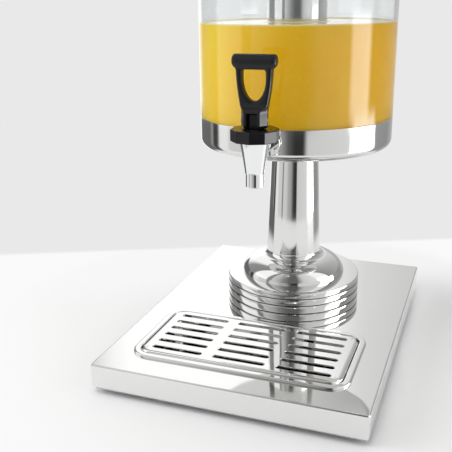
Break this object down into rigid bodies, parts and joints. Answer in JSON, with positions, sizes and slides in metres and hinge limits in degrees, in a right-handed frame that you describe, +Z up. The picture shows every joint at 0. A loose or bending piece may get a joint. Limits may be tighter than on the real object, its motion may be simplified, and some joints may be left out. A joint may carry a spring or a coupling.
{
  "type": "juice dispenser",
  "caption": "Pedestal juice dispenser: polished steel base with drip tray and grille, column, clear canister in a steel bowl, lever tap, lid with ice tube.",
  "frame": {"origin": "on the table, under the middle of the base, at the undersides of the rubber feet", "axes": "+Z up along the column, +Y from the tap to the back, +X to the right seen from the front"},
  "size_m": [0.26, 0.35, 0.5599],
  "materials": {
    "polished_steel": "mirror polished stainless steel",
    "chrome_plate": "chrome plated",
    "plain_steel": "zinc plated",
    "black_plastic": "glossy black moulding",
    "black_rubber": "matte rubber",
    "silicone": "translucent white silicone",
    "clear_plastic": "clear polycarbonate",
    "juice": "cloudy orange juice"
  },
  "bodies": {
    "stand": {"base_shell": "polished_steel", "base_plate": "plain_steel", "plate_screws": "plain_steel", "rubber_feet": "black_rubber", "foot_screws": "plain_steel", "foot_nuts": "plain_steel", "base_stiffener": "plain_steel", "foot_collar": "polished_steel", "column_dome": "polished_steel", "column_tube": "polished_steel", "tie_rod": "plain_steel", "rod_washer": "plain_steel", "rod_nut": "plain_steel", "rod_seal": "silicone", "rod_cap_nut": "polished_steel", "bowl": "polished_steel", "bowl_pad": "silicone", "canister": "clear_plastic", "juice_fill": "juice", "tap_body": "chrome_plate", "tap_flange": "chrome_plate", "outer_seal": "black_rubber", "inner_seal": "black_rubber", "shank_nut": "polished_steel", "tap_bonnet": "black_plastic", "valve_spring": "plain_steel"},
    "valve": {"valve_stem": "black_plastic", "seat_cup": "silicone"},
    "lever": {"tap_lever": "black_plastic", "lever_pin": "polished_steel"},
    "tray": {"drip_pan": "polished_steel"},
    "grille": {"drip_grille": "polished_steel"},
    "lid": {"lid": "polished_steel", "lid_seal": "silicone"},
    "ice_tube": {"ice_tube": "polished_steel"},
    "cap": {"ice_tube_cap": "polished_steel", "cap_knob": "black_plastic", "knob_screw": "plain_steel"}
  },
  "joints": [
    {"name": "stem_lift", "type": "slide", "parent": "stand", "child": "valve", "axis": [0, 0, 1], "range_m": [0, 0.0034], "deforming": ["valve_spring"]},
    {"name": "lever_tilt", "type": "hinge", "parent": "valve", "child": "lever", "pos_m": [0, -0.078, 0.24899], "axis": [1, 0, 0], "range_deg": [0, 28], "stiffness_Nm_per_rad": 1, "springref_deg": -8.59},
    {"name": "tray_lift", "type": "slide", "parent": "stand", "child": "tray", "axis": [0, 0, 1], "range_m": [0, 0.04]},
    {"name": "grille_lift", "type": "slide", "parent": "tray", "child": "grille", "axis": [0, 0, 1], "range_m": [0, 0.03]},
    {"name": "lid_lift", "type": "slide", "parent": "stand", "child": "lid", "axis": [0, 0, 1], "range_m": [0, 0.31]},
    {"name": "ice_tube_lift", "type": "slide", "parent": "lid", "child": "ice_tube", "axis": [0, 0, 1], "range_m": [0, 0.3]},
    {"name": "cap_lift", "type": "slide", "parent": "ice_tube", "child": "cap", "axis": [0, 0, 1], "range_m": [0, 0.04]}
  ],
  "couplings": [
    {"joint": "stem_lift", "follows": "lever_tilt", "m_per_rad": 0.0065}
  ]
}
